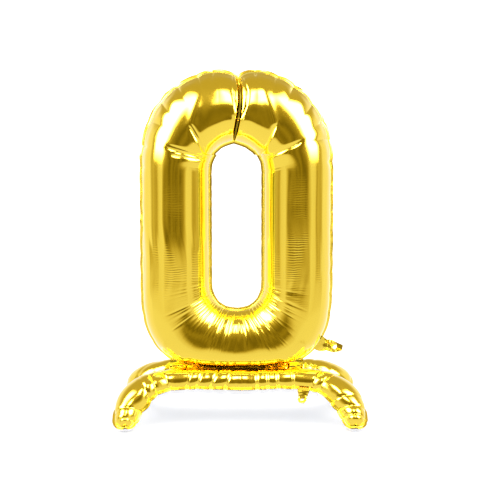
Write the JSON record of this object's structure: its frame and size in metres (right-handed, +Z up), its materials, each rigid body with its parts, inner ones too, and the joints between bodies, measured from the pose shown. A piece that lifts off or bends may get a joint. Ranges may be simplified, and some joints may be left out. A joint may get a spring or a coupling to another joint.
{
  "type": "standing foil number balloon",
  "caption": "Inflated foil ring in the shape of a zero, standing on an inflated foil base whose arched tubes splay into legs, with folding valve tails.",
  "frame": {"origin": "on the floor, under the middle of the base", "axes": "+Z up, +Y towards the back of the digit, +X to the right of someone who faces the digit"},
  "size_m": [0.5396, 0.2838, 0.7594],
  "materials": {
    "gold_foil": "mirror-bright gold metallised film, puckered along its seams",
    "silver_foil": "mirror-bright silver metallised film",
    "clear_film": "thin milky clear film"
  },
  "bodies": {
    "base": {"base_upper_panel": "gold_foil", "base_lower_panel": "silver_foil", "base_valve_film_upper": "clear_film", "base_valve_film_lower": "clear_film"},
    "number": {"number_front_panel": "gold_foil", "number_back_panel": "gold_foil", "number_valve_film_front": "clear_film", "number_valve_film_back": "clear_film", "joining_tongue_left": "gold_foil", "joining_tongue_right": "gold_foil"},
    "number_tail": {"number_tail_front_ply": "gold_foil", "number_tail_back_ply": "gold_foil"},
    "base_tail": {"base_tail_upper_ply": "gold_foil", "base_tail_lower_ply": "silver_foil"}
  },
  "joints": [
    {"name": "number_rock", "type": "hinge", "parent": "base", "child": "number", "pos_m": [0, -0.00185, 0.07786], "axis": [1, 0, 0], "range_deg": [-3, 3], "stiffness_Nm_per_rad": 1.5},
    {"name": "number_tail_fold", "type": "hinge", "parent": "number", "child": "number_tail", "pos_m": [0.17599, 0, 0.16055], "axis": [0.5547, 0, 0.8321], "range_deg": [-85, 85]},
    {"name": "base_tail_fold", "type": "hinge", "parent": "base", "child": "base_tail", "pos_m": [0.13505, -0.08148, 0.07641], "axis": [0.9732, -0.2185, -0.0716], "range_deg": [-140, 20]}
  ]
}
